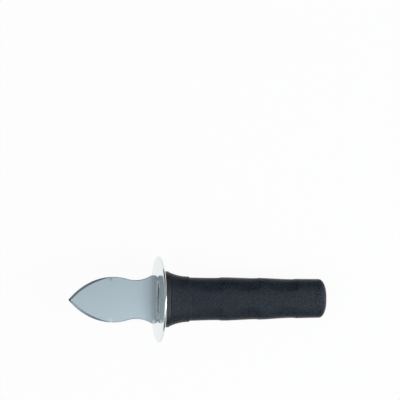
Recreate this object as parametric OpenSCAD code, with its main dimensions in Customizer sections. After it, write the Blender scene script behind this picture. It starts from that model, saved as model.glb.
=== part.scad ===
// Oyster knife: spade blade with a tang, round hand guard, moulded two-part handle.
// The knife is drawn on its own axis, tip towards -X, blade flat in the XY plane and
// the front of the guard at x = 0. place() then lays it down as it rests on a table,
// on the rim of the guard and the end of the handle, with the floor at z = 0.

/* [Blade] */
// Length from the tip to the guard
blade_l = 60; // [50:1:75]
// Thickness of the blade between its ground faces
blade_t = 2.5; // [2:0.1:2.7]
// Thickness of the steel sheet, kept in the tang and the heel of the blade
sheet_t = 2.7; // [2.7:0.1:3.4]
// Length of the heel, the strip in front of the guard whose faces aren't ground
heel_l = 3.7; // [2.5:0.1:6]
// Widest part of the spade
belly_w = 30.3; // [28:0.1:32]
// Distance of the widest part from the tip
belly_at = 29.8; // [27:0.1:32]
// Radius of the edge at the widest part
belly_r = 34.2; // [30:0.1:38]
// Radius of the curved edges that meet at the tip
tip_r = 41.4; // [40:0.1:46]
// Narrowest part, in front of the guard
waist_w = 25.8; // [24:0.1:27]
// Distance of the narrowest part from the tip
waist_at = 45.2; // [44:0.1:47]
// Width across the shoulders
shoulder_w = 32.2; // [30:0.1:34]
// Radius of the shoulder corners
shoulder_r = 2.3; // [1:0.1:3]
// Width of the ground bevel along the point
bevel_w = 1.5; // [1:0.1:2]
// Thickness left at the edge of the bevel
edge_t = 0.5; // [0.3:0.1:1]

/* [Tang] */
// Width of the tang
tang_w = 16; // [12:0.5:18]
// Length of the tang behind the front of the guard
tang_l = 88; // [60:1:95]
// Radius of the corners at the end of the tang
tang_end_r = 3; // [1:0.5:5]
// Number of lock holes in the tang
lock_n = 3; // [1:1:4]
// Radius of a lock hole
lock_r = 3.5; // [2:0.1:5]
// Distance of the first lock hole from the front of the guard
lock_at = 30; // [20:1:34]
// Distance from one lock hole to the next
lock_step = 20; // [12:1:20]

/* [Guard] */
// Radius of the guard
guard_r = 28.9; // [25:0.1:33]
// Thickness of the guard
guard_t = 1.7; // [1.2:0.1:2.6]
// Leg of the weld bead between the blade and the guard
weld_leg = 1; // [0.5:0.1:1.5]
// Length of the weld bead
weld_l = 26.4; // [18:0.1:27]

/* [Handle] */
// Length of the handle behind the guard
handle_l = 113.5; // [105:0.5:125]
// Width of the front flange
flange_w = 37.5; // [36:0.1:42]
// Thickness of the front flange, top to bottom
flange_h = 23.6; // [22:0.1:28]
// Length of the front flange along the handle
flange_l = 5.6; // [3:0.1:8]
// How far the grip stands back from the edge of the flange
flange_lip = 0.45; // [0.2:0.05:1]
// Length of the flared stretch behind the flange
flare_l = 13.6; // [10:0.1:18]
// Width of the grip where the flare ends
flare_end_w = 30.4; // [29:0.1:33]
// Thickness of the grip where the flare ends
flare_end_h = 19.6; // [18:0.1:22]
// Depth of the step behind the flare
step_d = 0.6; // [0.2:0.05:1]
// Width of the grip behind the step
grip_w = 29; // [27:0.1:31]
// Thickness of the grip at the palm swell
swell_h = 19.6; // [18:0.1:22]
// Thickness of the grip behind the step
grip_h = 18.6; // [17:0.1:20]
// Width of the grip near its end
butt_w = 26.1; // [24:0.1:29]
// Thickness of the grip near its end
butt_h = 18.1; // [16:0.1:20]
// Length of the rounded end
end_l = 5.3; // [3:0.1:8]
// Depth of the three finger scoops on each side
scoop_d = 1.1; // [0.3:0.05:1.5]
// Distance of the first scoop's rear crest from the guard
scoop_at = 43; // [40:0.5:48]
// Distance from one crest to the next
scoop_step = 25.5; // [20:0.5:27]
// Length of a scoop
scoop_l = 21; // [14:0.5:21]
// Width of the stiff core inside the grip
core_w = 21; // [20:0.5:23]
// Thickness of the stiff core inside the grip
core_h = 9; // [7:0.5:12]
// Length of the stiff core behind the flange
core_l = 92; // [90:0.5:95]

/* [Fits] */
// Clearance around the tang in the guard's slot and in the core
tang_gap = 0.1; // [0.05:0.05:0.3]
// Clearance between the core and the grip moulded over it
mould_gap = 0.05; // [0.02:0.01:0.2]

/* [Hidden] */
steel = "lightsteelblue";
cut = 1;              // how far a cutting solid runs past what it cuts
round_fn = 96;
sides = 44;           // points round a section of the handle
squareness = 2.9;     // exponent of the handle's sections: 2 is an oval, more is squarer
flange_back = guard_t + flange_l;
flare_back = flange_back + flare_l;
handle_end = guard_t + handle_l;
end_from = handle_end - end_l;
swell_at = (flare_back + end_from) / 3;
scoop_count = 3;
scoop_mid = 36;       // degrees from the side of the handle at which a scoop is deepest
scoop_reach = 66;     // degrees from the side of the handle at which a scoop runs out
scoop_side = 0.3;     // share of its depth that a scoop has on the very side
rim_r = guard_t / 2;

// Blade outline: the tip, belly and waist edges are arcs that run into each other.
belly_c = [belly_at, belly_w / 2 - belly_r];
belly_drop = (belly_w - waist_w) / 2;
belly_to_waist = waist_at - belly_at;
waist_r = (pow(belly_to_waist, 2) + pow(belly_drop, 2)) / (2 * belly_drop) - belly_r;
waist_c = [waist_at, waist_w / 2 + waist_r];
centre_gap = norm(belly_c);
along = (pow(tip_r, 2) - pow(tip_r - belly_r, 2) + pow(centre_gap, 2)) / (2 * centre_gap);
across = sqrt(pow(tip_r, 2) - pow(along, 2));
tip_c = along * unit(belly_c) + across * [unit(belly_c).y, -unit(belly_c).x];
shoulder_a = acos((waist_c.y - shoulder_w / 2) / waist_r);

// Bevel: each side is the rim of a wide disc, whose centre is set back from the edge's own,
// so the ground band keeps its width along the point and runs out at the belly.
bevel_set_back = [3.7, -4.9];
bevel_c = tip_c + bevel_set_back;
point_a = (angle_of(-tip_c) + angle_of(belly_c - tip_c)) / 2;   // half-way along the point
bevel_r = norm(tip_c + (tip_r - bevel_w) * [cos(point_a), sin(point_a)] - bevel_c);
bevel_end = (belly_at + waist_at) / 2;

// The tilt at which the rim of the guard and the end of the handle touch the floor together.
function drop_guard(a) = rim_r * sin(a) + (guard_r - rim_r) * cos(a) + rim_r;
function drop_end(a) = end_from * sin(a) + norm([end_l * sin(a), butt_h / 2 * cos(a)]);
function tilt_between(lo, hi, n) = n == 0 ? (lo + hi) / 2
    : drop_end((lo + hi) / 2) > drop_guard((lo + hi) / 2)
    ? tilt_between(lo, (lo + hi) / 2, n - 1)
    : tilt_between((lo + hi) / 2, hi, n - 1);
rest_tilt = tilt_between(0, 40, 30);
rest_height = drop_guard(rest_tilt);
tip_x = -blade_l * cos(rest_tilt);
end_x = end_from * cos(rest_tilt) + norm([end_l * cos(rest_tilt), butt_h / 2 * sin(rest_tilt)]);

function unit(v) = v / norm(v);
function arc(c, r, from, to, n) = [for (i = [0:n]) let (a = from + (to - from) * i / n)
    c + r * [cos(a), sin(a)]];
function angle_of(v) = atan2(v.y, v.x);
function mirrored(points) = [for (i = [len(points) - 1:-1:0]) [points[i].x, -points[i].y]];
function ease(t) = t * t * (3 - 2 * t);
function mix(a, b, t) = a + (b - a) * t;

// Half an outline of the blade, from the tip to the guard, measured from the tip.
half_outline = concat(
    arc(tip_c, tip_r, angle_of(-tip_c), angle_of(belly_c - tip_c), 14),
    arc(belly_c, belly_r, angle_of(belly_c - tip_c) - 2, angle_of(waist_c - belly_c) + 2, 12),
    arc(waist_c, waist_r, angle_of(belly_c - waist_c) + 360, 270 + shoulder_a, 14),
    arc([blade_l - shoulder_r, shoulder_w / 2 - shoulder_r], shoulder_r, 90, 0, 8)
);

// One section of the handle: a rounded rectangle that is w wide and h thick at x = u.
function scoop(u) = max([for (i = [0:scoop_count - 1])
    let (t = (scoop_at + i * scoop_step - u) / scoop_l) t > 0 && t < 1 ? sin(180 * sqrt(t)) : 0]);
function scoop_share(side) = side > scoop_reach ? 0
    : side < scoop_mid ? mix(scoop_side, 1, ease(side / scoop_mid))
    : pow(cos((side - scoop_mid) * 90 / (scoop_reach - scoop_mid)), 2);
function section(u, w, h, depth) = [for (i = [0:sides - 1])
    let (a = 360 * i / sides, c = cos(a), s = sin(a),
         r = pow(pow(abs(c) * 2 / w, squareness) + pow(abs(s) * 2 / h, squareness), -1 / squareness),
         d = depth * scoop_share(min(a % 180, 180 - a % 180)))
    [u, (r - d) * c, (r - d) * s]];

flare_w = flange_w - 2 * flange_lip;
flare_h = flange_h - 2 * flange_lip;
function flare(u, wide, narrow) = mix(narrow, wide, pow((flare_back - u) / flare_l, 2));
function body_w(u) = mix(grip_w, butt_w, ease(max(0, (u - swell_at) / (end_from - swell_at))));
function body_h(u) = u < swell_at ? mix(grip_h, swell_h, ease((u - flare_back) / (swell_at - flare_back)))
    : mix(swell_h, butt_h, ease((u - swell_at) / (end_from - swell_at)));

flare_rings = [for (i = [0:7]) let (u = mix(flange_back, flare_back, i / 7))
    section(u, flare(u, flare_w, flare_end_w), flare(u, flare_h, flare_end_h), 0)];
body_from = flare_back + step_d;
body_rings = [for (i = [0:36]) let (u = mix(body_from, end_from, i / 36))
    section(u, body_w(u), body_h(u), scoop_d * scoop(u))];
end_rings = [for (a = [15:15:75])
    section(end_from + end_l * sin(a), butt_w * cos(a), butt_h * cos(a), 0)];

// The knife as it lies: the axis tilts so that the tip stands up.
module place() {
    translate([-(tip_x + end_x) / 2, 0, rest_height])
        rotate([0, rest_tilt, 0])
            children();
}

// Straight bar along x from the front of the guard, as wide and thick as the tang plus gap.
module tang_bar(gap, from, to) {
    translate([from, -tang_w / 2 - gap, -sheet_t / 2 - gap])
        cube([to - from, tang_w + 2 * gap, sheet_t + 2 * gap]);
}

module lock_places() {
    for (i = [0:lock_n - 1])
        translate([lock_at + i * lock_step, 0, 0]) children();
}

// A disc whose rim slopes from the full radius at mid-thickness to the bevel line on each face.
module bevel_disc() {
    slope_w = bevel_w * blade_t / (blade_t - edge_t);
    rotate_extrude($fn = 360)
        polygon([[0, -blade_t / 2], [bevel_r, -blade_t / 2], [bevel_r + slope_w, 0],
                 [bevel_r, blade_t / 2], [0, blade_t / 2]]);
}

// Spade blade and tang, stamped as one piece of sheet. The blade's faces are ground flat
// up to the heel, and its point is bevelled.
module blade() {
    color(steel) place() {
        difference() {
            union() {
                translate([-blade_l, 0, -sheet_t / 2])
                    linear_extrude(sheet_t)
                        polygon(concat(half_outline, mirrored(half_outline)));
                tang_bar(0, -shoulder_r, tang_l - tang_end_r);
                translate([tang_l - tang_end_r - cut, -tang_w / 2 + tang_end_r, -sheet_t / 2])
                    cube([tang_end_r + cut, tang_w - 2 * tang_end_r, sheet_t]);
                for (side = [-1, 1])
                    translate([tang_l - tang_end_r, side * (tang_w / 2 - tang_end_r), -sheet_t / 2])
                        cylinder(h = sheet_t, r = tang_end_r, $fn = round_fn);
            }
            lock_places()
                cylinder(h = sheet_t + 2 * cut, r = lock_r, center = true, $fn = round_fn);
            for (side = [0, 1]) mirror([0, 0, side])
                translate([-blade_l - cut, -shoulder_w / 2 - cut, blade_t / 2])
                    cube([blade_l + cut - heel_l, shoulder_w + 2 * cut, sheet_t]);
            for (side = [-1, 1])
                translate([-blade_l, 0, 0]) difference() {
                    translate([-cut, -belly_w / 2 - cut, -blade_t / 2 - cut])
                        cube([bevel_end + cut, belly_w + 2 * cut, blade_t + 2 * cut]);
                    translate([bevel_c.x, side * bevel_c.y, 0]) bevel_disc();
                }
        }
    }
}

// Round hand guard with a rounded rim and a slot for the tang.
module hand_guard() {
    color(steel) place() difference() {
        rotate([0, 90, 0]) rotate_extrude($fn = 180) union() {
            square([guard_r - rim_r, guard_t]);
            translate([guard_r - rim_r, rim_r]) circle(r = rim_r, $fn = round_fn);
        }
        tang_bar(tang_gap, -cut, guard_t + cut);
    }
}

// Weld bead in the corner between each face of the blade and the guard.
module guard_weld() {
    color(steel) place()
        for (side = [0, 1]) mirror([0, 0, side])
            translate([0, weld_l / 2, sheet_t / 2]) rotate([90, 0, 0])
                linear_extrude(weld_l)
                    polygon(concat([[0, 0]], arc([-weld_leg, weld_leg], weld_leg, 0, -90, 8)));
}

// Stiff core moulded round the tang: the front flange and the spine inside the grip.
module handle_core() {
    color("dimgray") place() {
        difference() {
            union() {
                translate([guard_t, 0, 0]) rotate([90, 0, 90])
                    linear_extrude(flange_l)
                        polygon([for (p = section(0, flange_w, flange_h, 0)) [p.y, p.z]]);
                translate([flange_back - cut, -core_w / 2, -core_h / 2])
                    cube([core_l + cut, core_w, core_h]);
            }
            tang_bar(tang_gap, 0, tang_l + tang_gap);
        }
        lock_places()
            cylinder(h = core_h - 2 * cut, r = lock_r - tang_gap, center = true, $fn = round_fn);
    }
}

// Soft grip moulded over the core: flare, step, finger scoops and a rounded end.
module handle_grip() {
    rings = concat(flare_rings, body_rings, end_rings);
    count = len(rings);
    tip = count * sides;
    points = concat([for (ring = rings, p = ring) p],
        [[flange_back, 0, 0], [handle_end, 0, 0]]);
    walls = [for (k = [0:count - 2], i = [0:sides - 1])
        let (a = k * sides + i, b = k * sides + (i + 1) % sides)
        each [[a, a + sides, b], [b, a + sides, b + sides]]];
    front = [for (i = [0:sides - 1]) [tip, i, (i + 1) % sides]];
    back = [for (i = [0:sides - 1])
        let (k = (count - 1) * sides) [tip + 1, k + (i + 1) % sides, k + i]];
    color([0.13, 0.15, 0.18]) place() difference() {
        polyhedron(points = points, faces = concat(walls, front, back), convexity = 6);
        translate([flange_back - cut, -core_w / 2 - mould_gap, -core_h / 2 - mould_gap])
            cube([core_l + cut + mould_gap, core_w + 2 * mould_gap, core_h + 2 * mould_gap]);
    }
}

blade();
hand_guard();
guard_weld();
handle_core();
handle_grip();
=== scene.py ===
import math
import bmesh
import bpy
from mathutils import Matrix, Vector


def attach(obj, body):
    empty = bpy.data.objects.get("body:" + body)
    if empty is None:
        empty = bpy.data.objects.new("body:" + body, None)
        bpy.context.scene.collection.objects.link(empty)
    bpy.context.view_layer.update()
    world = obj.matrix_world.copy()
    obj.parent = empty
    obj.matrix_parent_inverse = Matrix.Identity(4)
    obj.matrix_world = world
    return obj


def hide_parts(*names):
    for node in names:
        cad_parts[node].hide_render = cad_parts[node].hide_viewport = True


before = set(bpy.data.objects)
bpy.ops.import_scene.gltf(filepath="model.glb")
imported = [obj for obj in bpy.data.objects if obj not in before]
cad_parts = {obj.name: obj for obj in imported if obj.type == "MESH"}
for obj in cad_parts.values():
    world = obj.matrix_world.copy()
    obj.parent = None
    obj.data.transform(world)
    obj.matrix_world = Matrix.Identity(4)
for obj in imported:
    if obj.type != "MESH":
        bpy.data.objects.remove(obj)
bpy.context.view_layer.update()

# How the knife lies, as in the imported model. Pieces are drawn in millimetres on the
# knife's own axis, with the front of the guard at 0, and laid down by this matrix.
lie = {
    "tilt": 10.2975,     # degrees, the axis slopes down towards the handle
    "height": 28.6001,   # of the axis over the floor at the guard
    "shift": -27.278,    # of the front of the guard along X
}
mm = 0.001
mergeGap = 1e-6          # metres, points nearer than this become one
lay = (Matrix.Translation((lie["shift"] * mm, 0, lie["height"] * mm))
       @ Matrix.Rotation(math.radians(lie["tilt"]), 4, "Y") @ Matrix.Scale(mm, 4))


def mix(a, b, t):
    return a + (b - a) * t


def ease(t):
    t = min(max(t, 0.0), 1.0)
    return t * t * (3 - 2 * t)


def storeKnifeSpace(mesh):
    # every point keeps its place on the knife's own axis, which the finishes read
    back = lay.inverted()
    places = mesh.attributes.new("knifeSpace", "FLOAT_VECTOR", "POINT")
    for i, vert in enumerate(mesh.vertices):
        places.data[i].vector = back @ vert.co


def makePiece(name, points, faces, material, sharp):
    mesh = bpy.data.meshes.new(name)
    mesh.from_pydata([lay @ Vector(p) for p in points], [], faces)
    clean = bmesh.new()
    clean.from_mesh(mesh)
    bmesh.ops.remove_doubles(clean, verts=clean.verts, dist=mergeGap)
    bmesh.ops.recalc_face_normals(clean, faces=clean.faces)
    clean.to_mesh(mesh)
    clean.free()
    mesh.materials.append(material)
    storeKnifeSpace(mesh)
    mesh.shade_smooth()
    mesh.set_sharp_from_angle(angle=math.radians(sharp))
    piece = bpy.data.objects.new(name, mesh)
    bpy.context.scene.collection.objects.link(piece)
    return piece


def loft(rings):
    # rings of equal length joined by quads, with a flat cap on each end
    count = len(rings[0])
    points = [p for ring in rings for p in ring]
    faces = [(k * count + i, k * count + (i + 1) % count,
              (k + 1) * count + (i + 1) % count, (k + 1) * count + i)
             for k in range(len(rings) - 1) for i in range(count)]
    last = (len(rings) - 1) * count
    faces += [tuple(reversed(range(count))), tuple(range(last, last + count))]
    return points, faces


def bakeModifiers(piece):
    view = bpy.context.evaluated_depsgraph_get()
    done = bpy.data.meshes.new_from_object(piece.evaluated_get(view))
    piece.modifiers.clear()
    piece.data = done


def cutOut(piece, shape, name):
    # takes a bmesh shape out of a piece
    mesh = bpy.data.meshes.new(name)
    shape.to_mesh(mesh)
    shape.free()
    tool = bpy.data.objects.new(name, mesh)
    bpy.context.scene.collection.objects.link(tool)
    cutter = piece.modifiers.new("cut", "BOOLEAN")
    cutter.operation = "DIFFERENCE"
    cutter.object = tool
    bakeModifiers(piece)
    bpy.data.objects.remove(tool)


# Effects that more than one material uses

def newGroup(name, inputs, outputs):
    group = bpy.data.node_groups.new(name, "ShaderNodeTree")
    for label, value in inputs:
        socket = group.interface.new_socket(label, in_out="INPUT", socket_type="NodeSocketFloat")
        socket.default_value = value
    for label in outputs:
        group.interface.new_socket(label, in_out="OUTPUT", socket_type="NodeSocketFloat")
    return group, group.nodes.new("NodeGroupInput"), group.nodes.new("NodeGroupOutput")


def addNode(tree, kind, links=(), **values):
    node = tree.nodes.new(kind)
    for key, value in values.items():
        setattr(node, key, value)
    for source, socket in links:
        if hasattr(source, "is_output"):
            tree.links.new(source, node.inputs[socket])
        else:
            node.inputs[socket].default_value = source
    return node


def calc(tree, operation, a, b):
    return addNode(tree, "ShaderNodeMath", [(a, 0), (b, 1)], operation=operation).outputs[0]


def knifePlace(tree):
    return addNode(tree, "ShaderNodeAttribute", attribute_name="knifeSpace").outputs["Vector"]


polishLook = {
    "lineStretch": (1, 0.05, 0.3), "lineDetail": 3.0, "lineRough": 0.6,
    "cloudDetail": 3.0, "cloudRough": 0.5, "cloudShare": 0.7, "lineShare": 0.3,
    "hairTurn": (0, 0, 0.6), "hairStretch": (0.04, 2.2, 1), "hairScale": 1.1, "hairDetail": 2.0,
    "hairFrom": 0.7, "hairHeight": 0.4,
}


def polishGroup():
    # belt lines across the knife, cloudy buffing and a few hairline scratches
    look = polishLook
    group, given, out = newGroup("finePolish", [("lines", 6.0), ("cloud", 0.12)],
                                 ["height", "wear"])
    place = knifePlace(group)
    across = addNode(group, "ShaderNodeMapping", [(place, 0), (look["lineStretch"], 3)]).outputs[0]
    lines = addNode(group, "ShaderNodeTexNoise", [
        (across, "Vector"), (given.outputs[0], "Scale"),
        (look["lineDetail"], "Detail"), (look["lineRough"], "Roughness")]).outputs[0]
    cloud = addNode(group, "ShaderNodeTexNoise", [
        (place, "Vector"), (given.outputs[1], "Scale"),
        (look["cloudDetail"], "Detail"), (look["cloudRough"], "Roughness")]).outputs[0]
    turned = addNode(group, "ShaderNodeMapping", [
        (place, 0), (look["hairTurn"], 2), (look["hairStretch"], 3)]).outputs[0]
    hair = addNode(group, "ShaderNodeTexNoise", [
        (turned, "Vector"), (look["hairScale"], "Scale"), (look["hairDetail"], "Detail")]).outputs[0]
    scratch = calc(group, "MULTIPLY", calc(group, "GREATER_THAN", hair, look["hairFrom"]),
                   look["hairHeight"])
    wear = calc(group, "ADD", calc(group, "MULTIPLY", cloud, look["cloudShare"]),
                calc(group, "MULTIPLY", lines, look["lineShare"]))
    group.links.new(calc(group, "ADD", lines, scratch), out.inputs[0])
    group.links.new(wear, out.inputs[1])
    return group


grainLook = {"fineScale": 1.3, "fineDetail": 3.0, "patchDetail": 4.0, "patchRough": 0.6}


def grainGroup():
    # spark-eroded mould grain: rounded pimples of two sizes, with faint rubbed patches
    look = grainLook
    group, given, out = newGroup("mouldGrain", [("grain", 2.4), ("patch", 0.09)],
                                 ["height", "rub"])
    place = knifePlace(group)
    pimples = addNode(group, "ShaderNodeTexVoronoi", [
        (place, "Vector"), (given.outputs[0], "Scale")], feature="SMOOTH_F1")
    fine = addNode(group, "ShaderNodeTexNoise", [
        (place, "Vector"), (look["fineScale"], "Scale"), (look["fineDetail"], "Detail")])
    patch = addNode(group, "ShaderNodeTexNoise", [
        (place, "Vector"), (given.outputs[1], "Scale"),
        (look["patchDetail"], "Detail"), (look["patchRough"], "Roughness")])
    height = calc(group, "SUBTRACT", fine.outputs[0], pimples.outputs["Distance"])
    group.links.new(height, out.inputs[0])
    group.links.new(patch.outputs[0], out.inputs[1])
    return group


polish = polishGroup()
grain = grainGroup()


def startMaterial(name):
    material = bpy.data.materials.new(name)
    material.use_nodes = True
    tree = material.node_tree
    return material, tree, tree.nodes["Principled BSDF"]


def useGroup(tree, group, **values):
    node = addNode(tree, "ShaderNodeGroup", node_tree=group)
    for key, value in values.items():
        node.inputs[key].default_value = value
    return node


def spread(tree, value, low, high, fromLow=0.3, fromHigh=0.7):
    return addNode(tree, "ShaderNodeMapRange", [(value, 0), (fromLow, 1), (fromHigh, 2),
                                                (low, 3), (high, 4)]).outputs[0]


steelDepth = 0.00002     # metres, of the belt lines
heelDull = 0.08          # how much rougher the heel is than the ground faces
heelLength = 3.7         # of the strip in front of the guard that isn't ground


def steelFinish(name, finish):
    material, tree, shader = startMaterial(name)
    wear = useGroup(tree, polish, lines=finish["lines"])
    ramp = addNode(tree, "ShaderNodeMix", [
        (wear.outputs[1], 0), (finish["dark"], 6), (finish["light"], 7)], data_type="RGBA")
    tone = ramp.outputs[2]
    rough = spread(tree, wear.outputs[1], *finish["roughness"])
    if "heel" in finish:
        # the heel strip isn't ground: duller and darker up to its straight edge
        split = addNode(tree, "ShaderNodeSeparateXYZ", [(knifePlace(tree), 0)])
        onHeel = calc(tree, "GREATER_THAN", split.outputs[0], -finish["heel"])
        dull = addNode(tree, "ShaderNodeMix", [
            (onHeel, 0), (tone, 6), (finish["heelTone"], 7)], data_type="RGBA")
        tone = dull.outputs[2]
        rough = calc(tree, "ADD", rough, calc(tree, "MULTIPLY", onHeel, heelDull))
    bump = addNode(tree, "ShaderNodeBump", [
        (finish["bump"], "Strength"), (steelDepth, "Distance"), (wear.outputs[0], "Height")])
    tree.links.new(tone, shader.inputs["Base Color"])
    tree.links.new(rough, shader.inputs["Roughness"])
    tree.links.new(bump.outputs[0], shader.inputs["Normal"])
    shader.inputs["Metallic"].default_value = 1.0
    return material


# painted highlight: the raised grain is given a lighter colour, in place of the sheen light leaves
# on it
paintedGlint = {"share": 0.65, "hollow": -0.1, "top": 0.35}     # height of the grain from dark to light


def plasticFinish(name, finish):
    material, tree, shader = startMaterial(name)
    skin = useGroup(tree, grain, grain=finish["grain"])
    # the tops of the grain are painted paler than the hollows between them: a painted highlight
    # standing in for the sheen of the lamps on the grain
    raised = spread(tree, skin.outputs[0], 0.0, 1.0, paintedGlint["hollow"], paintedGlint["top"])
    paintedHighlight = calc(tree, "MULTIPLY", raised, paintedGlint["share"])
    patch = calc(tree, "MULTIPLY", spread(tree, skin.outputs[1], 0.0, 1.0), 1 - paintedGlint["share"])
    tone = addNode(tree, "ShaderNodeMix", [
        (calc(tree, "ADD", paintedHighlight, patch), 0), (finish["dark"], 6), (finish["light"], 7)],
        data_type="RGBA")
    bump = addNode(tree, "ShaderNodeBump", [
        (finish["bump"], "Strength"), (finish["depth"], "Distance"), (skin.outputs[0], "Height")])
    tree.links.new(tone.outputs[2], shader.inputs["Base Color"])
    tree.links.new(spread(tree, skin.outputs[1], *finish["roughness"]), shader.inputs["Roughness"])
    tree.links.new(bump.outputs[0], shader.inputs["Normal"])
    shader.inputs["Specular IOR Level"].default_value = finish["shine"]
    return material


bladeSteel = steelFinish("bladeSteel", {
    "lines": 9.0, "bump": 0.25, "roughness": (0.12, 0.19), "heel": heelLength,
    "dark": (0.78, 0.85, 0.87, 1), "light": (0.86, 0.91, 0.92, 1),
    "heelTone": (0.50, 0.59, 0.64, 1)})
guardSteel = steelFinish("guardSteel", {
    "lines": 5.0, "bump": 0.1, "roughness": (0.07, 0.13),
    "dark": (0.74, 0.78, 0.79, 1), "light": (0.82, 0.84, 0.85, 1)})
weldSteel = steelFinish("weldSteel", {
    "lines": 3.0, "bump": 0.9, "roughness": (0.2, 0.4),
    "dark": (0.66, 0.71, 0.74, 1), "light": (0.85, 0.88, 0.9, 1)})
hardPlastic = plasticFinish("hardPlastic", {
    "grain": 4.0, "bump": 0.15, "depth": 0.00003, "shine": 0.5, "roughness": (0.32, 0.45),
    "dark": (0.007, 0.009, 0.012, 1), "light": (0.012, 0.015, 0.019, 1)})
gripPlastic = plasticFinish("gripPlastic", {
    "grain": 1.1, "bump": 1.0, "depth": 0.0003, "shine": 0.28, "roughness": (0.36, 0.48),
    "dark": (0.0015, 0.004, 0.009, 1), "light": (0.013, 0.024, 0.040, 1)})
print("finishes made")

# The blade with its tang: sections across the knife from the tip to the end of the tang
blade = {
    "length": 60.0, "groundT": 2.5, "sheetT": 2.7, "heel": heelLength,
    "tipR": 41.4, "tipC": (32.409, -25.761),
    "bellyR": 34.2, "bellyC": (29.8, -19.05),
    "waistR": 19.627, "waistC": (45.2, 32.527),
    "shoulderW": 32.2, "shoulderR": 2.3,
    "bevelW": 1.5, "edgeT": 0.5, "bevelC": (36.109, -30.661), "bevelR": 46.03,
    "edgeBreak": 0.35, "crown": 0.12,
    "tangW": 16.0, "tangEnd": 88.0, "tangEndR": 3.0,
    "lockR": 3.5, "lockAt": 30.0, "lockStep": 20.0, "lockCount": 3,
    "lockSides": 48, "drillDepth": 10.0,
    "tipHalf": 0.3, "leastHalf": 0.02,              # half-widths that keep the tip open
    "edgeDropShare": 0.8, "faceSteps": 6,
    "tipStations": (0.02, 0.3, 0.8, 1.4), "stationFrom": 2, "stationStep": 0.7,
    "heelRamp": 0.05, "tangGap": 0.01, "cornerTurn": 9, "endTurn": 15, "sharp": 25,
}


def arcHeight(centre, radius, s, sign=1):
    return centre[1] + sign * math.sqrt(max(radius ** 2 - (s - centre[0]) ** 2, 0.0))


def tangentAt(a, b, radius):
    # s of the point where the arc round b meets the arc round a
    reach = math.hypot(b[0] - a[0], b[1] - a[1])
    return b[0] + (b[0] - a[0]) / reach * radius


def bladeHalf(s):
    b = blade
    toBelly = tangentAt(b["tipC"], b["bellyC"], b["bellyR"])
    toWaist = tangentAt(b["waistC"], b["bellyC"], -b["bellyR"])
    if s < toBelly:
        return max(arcHeight(b["tipC"], b["tipR"], s), b["tipHalf"])
    if s < toWaist:
        return arcHeight(b["bellyC"], b["bellyR"], s)
    half = min(arcHeight(b["waistC"], b["waistR"], s, -1), b["shoulderW"] / 2)
    corner = s - (b["length"] - b["shoulderR"])
    if corner > 0:
        half = (b["shoulderW"] / 2 - b["shoulderR"]
                + math.sqrt(max(b["shoulderR"] ** 2 - corner ** 2, 0.0)))
    return half


def bladeRing(s, half, thick, bevelled=True):
    b = blade
    wide = b["edgeBreak"]
    if bevelled and s < (b["bellyC"][0] + b["waistC"][0]) / 2:
        wide = max(half - arcHeight(b["bevelC"], b["bevelR"], s), wide)
    slope = (b["groundT"] - b["edgeT"]) / 2 / b["bevelW"]
    drop = max(min(wide, b["bevelW"]) * slope, b["edgeBreak"] * b["edgeDropShare"])
    inner = max(half - wide, b["leastHalf"])
    top = thick / 2 if half > wide else thick / 2 - drop + half * slope
    edge = thick / 2 - drop
    u = s - b["length"]
    # buffing leaves the faces a hair lower towards the edges than along the middle
    crown = b["crown"] if bevelled else 0.0
    n = b["faceSteps"]
    face = [(inner * k / n, top - crown * (inner * k / n / b["tangW"]) ** 2) for k in range(n + 1)]
    right = [(u, half, -edge), (u, half, min(edge, face[-1][1]))]
    right += [(u, y, z) for y, z in reversed(face[1:])]
    left = [(x, -y, z) for x, y, z in reversed(right)]
    under = [(u, side * y, -z) for side, row in ((-1, face[:0:-1]), (1, face[1:]))
             for y, z in row]
    return right + [(u, 0, top)] + left + under[:n] + [(u, 0, -top)] + under[n:]


def makeBlade():
    b = blade
    heelFrom = b["length"] - b["heel"]
    count = int((heelFrom - b["stationFrom"]) / b["stationStep"])
    stations = list(b["tipStations"])
    stations += [b["stationFrom"] + b["stationStep"] * i for i in range(count)]
    rings = [bladeRing(s, bladeHalf(s), b["groundT"]) for s in stations]
    rings.append(bladeRing(heelFrom, bladeHalf(heelFrom), b["groundT"]))
    # the heel keeps the sheet's thickness up to its rounded shoulders
    corner = b["length"] - b["shoulderR"]
    turns = [corner + b["shoulderR"] * math.sin(math.radians(a))
             for a in range(0, 91, b["cornerTurn"])]
    rings += [bladeRing(s, bladeHalf(s), b["sheetT"])
              for s in [heelFrom + b["heelRamp"], (heelFrom + corner) / 2] + turns]
    # the tang, measured from the guard, with rounded corners at its end
    tangHalf = b["tangW"] / 2
    rings.append(bladeRing(b["length"] + b["tangGap"], tangHalf, b["sheetT"], False))
    for a in range(0, 91, b["endTurn"]):
        u = b["tangEnd"] - b["tangEndR"] * (1 - math.sin(math.radians(a)))
        past = (u - b["tangEnd"]) / b["tangEndR"] + 1
        inset = b["tangEndR"] * (1 - math.sqrt(max(1 - past ** 2, 0.0)))
        rings.append(bladeRing(b["length"] + u, tangHalf - inset, b["sheetT"], False))
    points, faces = loft(rings)
    piece = makePiece("knife_blade", points, faces, bladeSteel, b["sharp"])
    for k in range(b["lockCount"]):
        drillHole(piece, b["lockAt"] + k * b["lockStep"], b["lockR"])
    return piece


def drillHole(piece, u, radius):
    tool = bmesh.new()
    bmesh.ops.create_cone(tool, cap_ends=True, segments=blade["lockSides"], radius1=radius * mm,
                          radius2=radius * mm, depth=blade["drillDepth"] * mm)
    turn = lay @ Matrix.Translation((u, 0, 0)) @ Matrix.Scale(1 / mm, 4)
    bmesh.ops.transform(tool, matrix=turn, verts=tool.verts)
    cutOut(piece, tool, "drill")


# The guard: a disc turned on a lathe, its rim rounded, with the slot for the tang
guard = {"radius": 28.9, "thick": 1.7, "hub": 12.0, "rimSteps": 16, "sides": 256,
         "slotGap": 0.1, "slotCut": 3, "sharp": 40}


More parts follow.
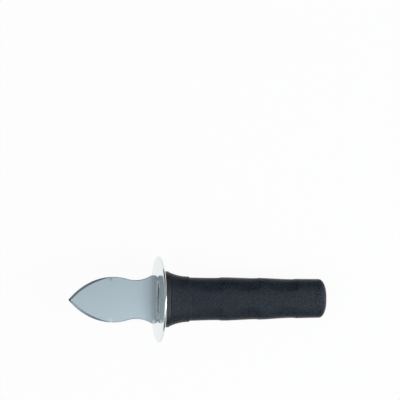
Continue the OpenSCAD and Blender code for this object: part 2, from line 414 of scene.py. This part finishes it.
def makeGuard():
    g = guard
    rim = g["thick"] / 2
    profile = [(0.0, g["hub"])] + [
        (rim - rim * math.cos(math.radians(180 * i / g["rimSteps"])),
         g["radius"] - rim + rim * math.sin(math.radians(180 * i / g["rimSteps"])))
        for i in range(g["rimSteps"] + 1)] + [(g["thick"], g["hub"])]
    around = [2 * math.pi * i / g["sides"] for i in range(g["sides"])]
    rings = [[(u, r * math.cos(a), r * math.sin(a)) for a in around] for u, r in profile]
    points, faces = loft(rings)
    piece = makePiece("guard_disc", points, faces, guardSteel, g["sharp"])
    slot = bmesh.new()
    bmesh.ops.create_cube(slot, size=1)
    room = Matrix.Diagonal((g["thick"] * g["slotCut"], blade["tangW"] + 2 * g["slotGap"],
                            blade["sheetT"] + 2 * g["slotGap"], 1))
    bmesh.ops.transform(slot, matrix=lay @ room, verts=slot.verts)
    cutOut(piece, slot, "slot")
    return piece


# The weld beads: Geometry Nodes sweep an uneven round bead along each face of the blade
weld = {"length": 26.4, "leg": 0.95, "ripple": 0.16, "step": 0.25, "seed": 7,
        "sides": 20, "noiseScale": 900.0, "noiseDetail": 2.0}


def weldTree():
    tree = bpy.data.node_groups.new("weldBead", "GeometryNodeTree")
    face = tree.interface
    face.new_socket("Geometry", in_out="INPUT", socket_type="NodeSocketGeometry")
    for label in ("Leg", "Ripple", "Step", "Seed"):
        face.new_socket(label, in_out="INPUT", socket_type="NodeSocketFloat")
    face.new_socket("Finish", in_out="INPUT", socket_type="NodeSocketMaterial")
    face.new_socket("Geometry", in_out="OUTPUT", socket_type="NodeSocketGeometry")
    given = tree.nodes.new("NodeGroupInput").outputs
    out = tree.nodes.new("NodeGroupOutput")
    path = addNode(tree, "GeometryNodeMeshToCurve", [(given["Geometry"], 0)])
    fine = addNode(tree, "GeometryNodeResampleCurve", [
        (path.outputs[0], "Curve"), (given["Step"], "Length")], mode="LENGTH")
    noise = addNode(tree, "ShaderNodeTexNoise", [
        (given["Seed"], "W"), (weld["noiseScale"], "Scale"), (weld["noiseDetail"], "Detail")],
        noise_dimensions="4D")
    # the noise takes up to one ripple off the bead's full leg
    swing = calc(tree, "SUBTRACT", noise.outputs[0], 1.0)
    size = addNode(tree, "ShaderNodeMath", [
        (swing, 0), (given["Ripple"], 1), (given["Leg"], 2)], operation="MULTIPLY_ADD")
    ratio = calc(tree, "DIVIDE", size.outputs[0], given["Leg"])
    bead = addNode(tree, "GeometryNodeCurvePrimitiveCircle", [
        (weld["sides"], "Resolution"), (given["Leg"], "Radius")], mode="RADIUS")
    sweep = addNode(tree, "GeometryNodeCurveToMesh", [
        (fine.outputs[0], "Curve"), (bead.outputs["Curve"], "Profile Curve"),
        (ratio, "Scale"), (True, "Fill Caps")])
    real = addNode(tree, "GeometryNodeRealizeInstances", [(sweep.outputs[0], 0)])
    finish = addNode(tree, "GeometryNodeSetMaterial", [
        (real.outputs[0], "Geometry"), (given["Finish"], "Material")])
    tree.links.new(finish.outputs[0], out.inputs[0])
    return tree


def makeWeld():
    w = weld
    away = w["leg"] / 2
    half = w["length"] / 2 - away
    mesh = bpy.data.meshes.new("weld_beads")
    lines = [lay @ Vector((-away, y, side * (blade["sheetT"] / 2 + away)))
             for side in (-1, 1) for y in (-half, half)]
    mesh.from_pydata(lines, [(0, 1), (2, 3)], [])
    piece = bpy.data.objects.new("weld_beads", mesh)
    bpy.context.scene.collection.objects.link(piece)
    nodes = piece.modifiers.new("bead", "NODES")
    nodes.node_group = weldTree()
    values = {"Leg": away * mm, "Ripple": w["ripple"] * mm, "Step": w["step"] * mm,
              "Seed": float(w["seed"]), "Finish": weldSteel}
    for item in nodes.node_group.interface.items_tree:
        if item.in_out == "INPUT" and item.name in values:
            nodes[item.identifier] = values[item.name]
    bakeModifiers(piece)
    piece.data.shade_smooth()
    storeKnifeSpace(piece.data)
    return piece


# The handle: the core with its flange, and the grip moulded over it
handle = {
    "end": 115.2, "endL": 5.3, "square": 2.9, "sides": 128,
    "flangeW": 37.5, "flangeH": 23.6, "flangeL": 5.6, "lip": 0.45, "lipRound": 0.55,
    "flareL": 13.6, "flareEndW": 30.4, "flareEndH": 19.6, "stepD": 0.6,
    "gripW": 29.0, "gripH": 18.6, "swellH": 19.6, "buttW": 26.1, "buttH": 18.1,
    "scoopD": 1.1, "scoopAt": 43.0, "scoopStep": 25.5, "scoopL": 21.0, "scoops": 3,
    "scoopSide": 0.3, "scoopMid": 36.0, "reach": 66.0,
    "coreW": 21.0, "coreH": 9.0, "coreL": 92.0, "coreGap": 0.02, "spineIn": 1, "lipTurn": 15,
    "seat": ((0.01, 1.1), (0.06, 0.6), (0.25, 0.2)),    # place behind the flange, inset
    "flareSteps": 30, "bodySteps": 160, "endTurns": (*range(6, 90, 6), 87, 89),
    "stepRound": 0.15, "stepIn": (0.25, 0.2), "stepOut": (0.35, 0.3),
    "sharp": 38,
}
flangeBack = guard["thick"] + handle["flangeL"]
flareBack = flangeBack + handle["flareL"]
endFrom = handle["end"] - handle["endL"]
swellAt = (flareBack + endFrom) / 3


def scoopShare(side):
    # a scoop is shallow on the side of the handle, deepest at the corner and gone on top
    h = handle
    if side < h["scoopMid"]:
        return mix(h["scoopSide"], 1.0, ease(side / h["scoopMid"]))
    if side > h["reach"]:
        return 0.0
    return math.cos(math.radians((side - h["scoopMid"]) * 90 / (h["reach"] - h["scoopMid"]))) ** 2


def handleRing(u, wide, high, depth=0.0):
    h = handle
    ring = []
    for i in range(h["sides"]):
        a = 2 * math.pi * i / h["sides"]
        c = math.cos(a)
        s = math.sin(a)
        r = ((abs(c) * 2 / wide) ** h["square"]
             + (abs(s) * 2 / high) ** h["square"]) ** (-1 / h["square"])
        turn = math.degrees(a) % 180
        r -= depth * scoopShare(min(turn, 180 - turn))
        ring.append((u, r * c, r * s))
    return ring


def scoopAt(u):
    h = handle
    depth = 0.0
    for i in range(h["scoops"]):
        t = (h["scoopAt"] + i * h["scoopStep"] - u) / h["scoopL"]
        if 0 < t < 1:
            depth = max(depth, math.sin(math.pi * math.sqrt(t)))
    return depth * h["scoopD"]


def makeGrip():
    h = handle
    rings = []
    lipW = h["flangeW"] - 2 * h["lip"]
    lipH = h["flangeH"] - 2 * h["lip"]
    for back, inset in h["seat"]:
        rings.append(handleRing(flangeBack + back, lipW - inset, lipH - inset))
    for i in range(1, h["flareSteps"] + 1):
        t = i / h["flareSteps"]
        k = (1 - t) ** 2
        rings.append(handleRing(mix(flangeBack, flareBack - h["stepRound"], t),
                                mix(h["flareEndW"], lipW, k), mix(h["flareEndH"], lipH, k)))
    # the step down from the flare to the body
    inW, inH = h["stepIn"]
    outW, outH = h["stepOut"]
    rings.append(handleRing(flareBack, h["flareEndW"] - inW, h["flareEndH"] - inH))
    rings.append(handleRing(flareBack + h["stepRound"], h["gripW"] + outW, h["gripH"] + outH))
    bodyFrom = flareBack + h["stepD"]
    for i in range(h["bodySteps"] + 1):
        u = mix(bodyFrom, endFrom, i / h["bodySteps"])
        wide = mix(h["gripW"], h["buttW"], ease((u - swellAt) / (endFrom - swellAt)))
        if u < swellAt:
            high = mix(h["gripH"], h["swellH"], ease((u - flareBack) / (swellAt - flareBack)))
        else:
            high = mix(h["swellH"], h["buttH"], ease((u - swellAt) / (endFrom - swellAt)))
        rings.append(handleRing(u, wide, high, scoopAt(u)))
    for a in h["endTurns"]:
        turn = math.radians(a)
        rings.append(handleRing(endFrom + h["endL"] * math.sin(turn), h["buttW"] * math.cos(turn),
                                h["buttH"] * math.cos(turn)))
    points, faces = loft(rings)
    return makePiece("soft_grip", points, faces, gripPlastic, h["sharp"])


def lipRing(face, inwards, degrees):
    # the flange's rounded lip: 0 degrees on its flat face, 90 on its rim
    h = handle
    turn = math.radians(degrees)
    inset = 2 * h["lipRound"] * (1 - math.sin(turn))
    return handleRing(face + inwards * h["lipRound"] * (1 - math.cos(turn)),
                      h["flangeW"] - inset, h["flangeH"] - inset)


def makeCore():
    h = handle
    front = guard["thick"] + h["coreGap"]
    rings = [lipRing(front, 1, a) for a in range(0, 91, h["lipTurn"])]
    rings += [lipRing(flangeBack, -1, a) for a in range(90, -1, -h["lipTurn"])]
    points, faces = loft(rings)
    spine = [[(u, sy * h["coreW"] / 2, sz * h["coreH"] / 2)
              for sy, sz in ((-1, -1), (1, -1), (1, 1), (-1, 1))]
             for u in (flangeBack - h["spineIn"], flangeBack + h["coreL"])]
    morePoints, moreFaces = loft(spine)
    start = len(points)
    points += morePoints
    faces += [tuple(start + i for i in face) for face in moreFaces]
    return makePiece("stiff_core", points, faces, hardPlastic, h["sharp"])


pieces = [
    (makeBlade(), "blade", "steel"),
    (makeGuard(), "hand_guard", "steel"),
    (makeWeld(), "guard_weld", "steel"),
    (makeCore(), "handle_core", "core"),
    (makeGrip(), "handle_grip", "grip"),
]
for piece, node, slot in pieces:
    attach(piece, "root")
    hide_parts(node)
print("pieces made")

# The studio: a pale floor, a soft sky and large soft lamps
studio = {
    "floor": 3.0, "floorTone": (0.86, 0.87, 0.88, 1), "floorShow": 0.95,
    "sky": 0.86, "skyTone": (0.95, 0.985, 1.0, 1),
    # each of these grades the sky: strength from, to, over that stretch of the direction
    "overhead": (1.0, 0.5, 0.955, 0.995), "side": (1.25, 0.62, -0.2, 0.14),
    "wall": (0.02, 1.0, 0.25, 0.88),
    "lamps": [   # place, size, power, tone
        ((-0.7, -0.6, 1.2), 1.0, 3.0, (1.0, 1.0, 1.0)),
        ((0.9, -0.3, 1.1), 0.7, 4.5, (0.90, 0.96, 1.0)),
        ((1.1, -0.1, 0.5), 0.5, 4.0, (0.85, 0.95, 1.0)),
    ],
}


def seenRay(tree):
    # camera and glass rays see the studio as plain white
    path = tree.nodes.new("ShaderNodeLightPath")
    seen = calc(tree, "MAXIMUM", path.outputs["Is Camera Ray"], path.outputs["Is Transmission Ray"])
    return seen, path


def makeFloor():
    mesh = bpy.data.meshes.new("floor")
    half = studio["floor"]
    mesh.from_pydata([(-half, -half, 0), (half, -half, 0), (half, half, 0), (-half, half, 0)],
                     [], [(0, 1, 2, 3)])
    floor = bpy.data.objects.new("floor", mesh)
    bpy.context.scene.collection.objects.link(floor)
    material = bpy.data.materials.new("paleFloor")
    material.use_nodes = True
    tree = material.node_tree
    tree.nodes.clear()
    plain = addNode(tree, "ShaderNodeBsdfDiffuse", [(studio["floorTone"], 0)])
    white = addNode(tree, "ShaderNodeEmission", [((1, 1, 1, 1), 0), (1.0, 1)])
    # mirror rays see the floor as white too, but not the sky, which gives the steel its edges
    seen, path = seenRay(tree)
    seen = calc(tree, "MAXIMUM", seen, path.outputs["Is Glossy Ray"])
    share = calc(tree, "MULTIPLY", seen, studio["floorShow"])
    blend = addNode(tree, "ShaderNodeMixShader", [(share, 0), (plain.outputs[0], 1),
                                                  (white.outputs[0], 2)])
    out = tree.nodes.new("ShaderNodeOutputMaterial")
    tree.links.new(blend.outputs[0], out.inputs[0])
    mesh.materials.append(material)


def makeSky():
    world = bpy.data.worlds.new("studioSky")
    bpy.context.scene.world = world
    world.use_nodes = True
    tree = world.node_tree
    tree.nodes.clear()
    # the tent is a little darker straight overhead, where the camera stands, and its sides
    # stop short of the floor, so edges that face outwards mirror a dark band
    way = addNode(tree, "ShaderNodeTexCoord").outputs["Generated"]
    split = addNode(tree, "ShaderNodeSeparateXYZ", [(way, 0)])
    steep = spread(tree, split.outputs[2], *studio["overhead"])
    tone = spread(tree, split.outputs[1], *studio["side"])
    wall = spread(tree, split.outputs[2], *studio["wall"])
    strength = calc(tree, "MULTIPLY", calc(tree, "MULTIPLY", steep, tone),
                    calc(tree, "MULTIPLY", wall, studio["sky"]))
    soft = addNode(tree, "ShaderNodeBackground", [(studio["skyTone"], 0)])
    tree.links.new(strength, soft.inputs["Strength"])
    white = addNode(tree, "ShaderNodeBackground", [((1, 1, 1, 1), 0), (1.0, 1)])
    seen, _ = seenRay(tree)
    blend = addNode(tree, "ShaderNodeMixShader", [(seen, 0), (soft.outputs[0], 1),
                                                  (white.outputs[0], 2)])
    out = tree.nodes.new("ShaderNodeOutputWorld")
    tree.links.new(blend.outputs[0], out.inputs[0])


def makeLamps():
    for i, (place, size, power, tone) in enumerate(studio["lamps"]):
        data = bpy.data.lights.new(f"softLamp{i}", "AREA")
        data.shape = "DISK"
        data.size = size
        data.energy = power
        data.color = tone
        lamp = bpy.data.objects.new(f"softLamp{i}", data)
        lamp.location = place
        lamp.rotation_euler = (-Vector(place)).to_track_quat("-Z", "Y").to_euler()
        bpy.context.scene.collection.objects.link(lamp)


# The camera looks straight down; a long lens keeps the outline as flat as the photograph's
lookDown = {"height": 2.0, "knifeZ": 0.028, "perPixel": 0.668, "frame": 400,
            "guardPixel": 157.5, "axisPixel": 299.3, "sensor": 36.0, "clipEnd": 20}


def makeCamera():
    c = lookDown
    data = bpy.data.cameras.new("camera")
    data.sensor_width = c["sensor"]
    data.lens = c["sensor"] * (c["height"] - c["knifeZ"]) / (c["frame"] * c["perPixel"] * mm)
    data.clip_end = c["clipEnd"]
    camera = bpy.data.objects.new("camera", data)
    middle = c["frame"] / 2
    camera.location = ((lie["shift"] + (middle - c["guardPixel"]) * c["perPixel"]) * mm,
                       (c["axisPixel"] - middle) * c["perPixel"] * mm, c["height"])
    bpy.context.scene.collection.objects.link(camera)
    bpy.context.scene.camera = camera


makeFloor()
makeSky()
makeLamps()
makeCamera()
bpy.context.scene.view_settings.view_transform = "Standard"
print("studio made")
